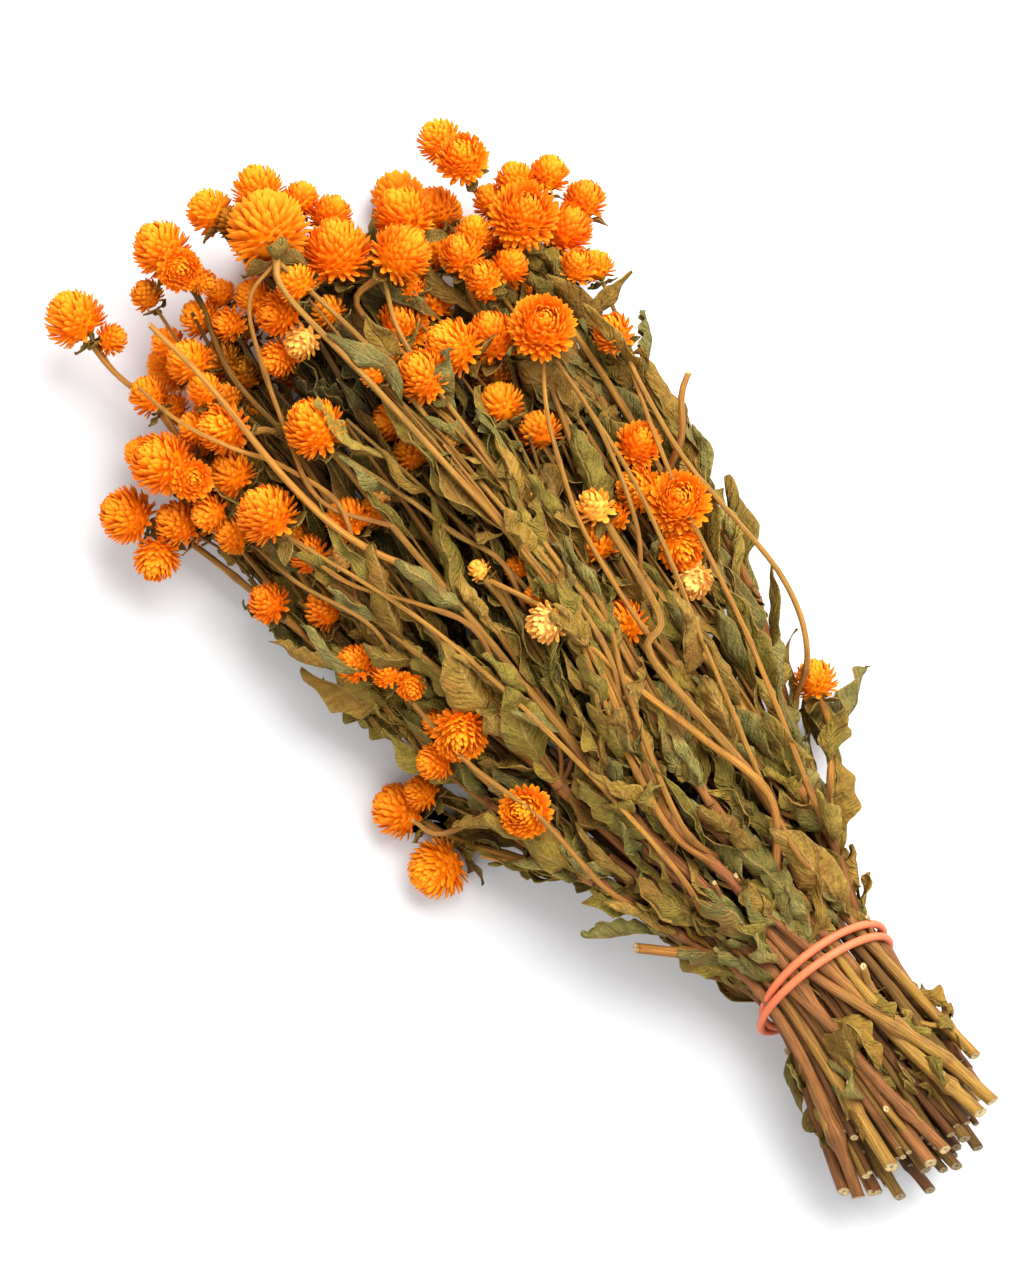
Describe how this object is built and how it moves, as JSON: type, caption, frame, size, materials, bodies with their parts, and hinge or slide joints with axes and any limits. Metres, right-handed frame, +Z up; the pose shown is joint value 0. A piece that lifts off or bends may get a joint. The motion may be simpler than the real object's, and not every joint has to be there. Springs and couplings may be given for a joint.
{
  "type": "tied bunch of dried globe amaranth, lying down",
  "caption": "Bunch of dried orange globe amaranth on leafy branched stems, tied with a rubber band wound twice and lying on its side.",
  "frame": {"origin": "the small flat where the rubber band's underside rests on the surface", "axes": "+X along the stems from the cut ends to the flowers, +Y across the bunch, +Z up from the surface that it lies on"},
  "size_m": [0.4468, 0.2164, 0.0844],
  "materials": {
    "flower_heads": "dry papery bracts, matt",
    "stems_and_leaves": "dry plant stem and leaf, matt",
    "rubber_band": "salmon rubber, satin"
  },
  "bodies": {
    "root": {"heads_left_corner": "flower_heads", "heads_left_large": "flower_heads", "head_left_yellow": "flower_heads", "heads_left_middle": "flower_heads", "head_left_far": "flower_heads", "heads_tip_left": "flower_heads", "heads_tip_middle": "flower_heads", "heads_far_inner": "flower_heads", "heads_centre_far": "flower_heads", "head_tip_back": "flower_heads", "head_top_yellow": "flower_heads", "heads_tip_right": "flower_heads", "head_top_orange": "flower_heads", "head_top_drooping": "flower_heads", "heads_centre_right": "flower_heads", "head_right_far": "flower_heads", "heads_right_stack": "flower_heads", "head_right_round": "flower_heads", "heads_right_small": "flower_heads", "head_right_large": "flower_heads", "heads_right_tip": "flower_heads", "heads_right_corner": "flower_heads", "head_middle_small": "flower_heads", "head_middle_round": "flower_heads", "heads_left_hidden": "flower_heads", "head_left_upper": "flower_heads", "heads_left_side": "flower_heads", "heads_left_near": "flower_heads", "head_stray": "flower_heads", "head_stray_large": "flower_heads", "head_near_band": "flower_heads", "head_pale": "flower_heads", "head_bud_pale": "flower_heads", "heads_right_near": "flower_heads", "head_band_edge": "flower_heads", "head_right_leafy": "flower_heads", "heads_under_right": "flower_heads", "heads_under_middle": "flower_heads", "heads_under_left": "flower_heads", "rubber_band": "rubber_band", "stem_left_short": "stems_and_leaves", "stem_left_low": "stems_and_leaves", "stem_left_edge": "stems_and_leaves", "stem_left_top": "stems_and_leaves", "stem_left_inner": "stems_and_leaves", "stem_left_deep": "stems_and_leaves", "stem_middle_top": "stems_and_leaves", "stem_middle_left": "stems_and_leaves", "stem_crossing": "stems_and_leaves", "stem_middle": "stems_and_leaves", "stem_middle_deep": "stems_and_leaves", "stem_right_top": "stems_and_leaves", "stem_right_inner": "stems_and_leaves", "stem_slanting": "stems_and_leaves", "stem_right_deep": "stems_and_leaves", "stem_right_side": "stems_and_leaves", "stem_right_edge": "stems_and_leaves", "stem_right_low": "stems_and_leaves", "stem_under_right": "stems_and_leaves", "stem_under_left": "stems_and_leaves"}
  },
  "joints": []
}
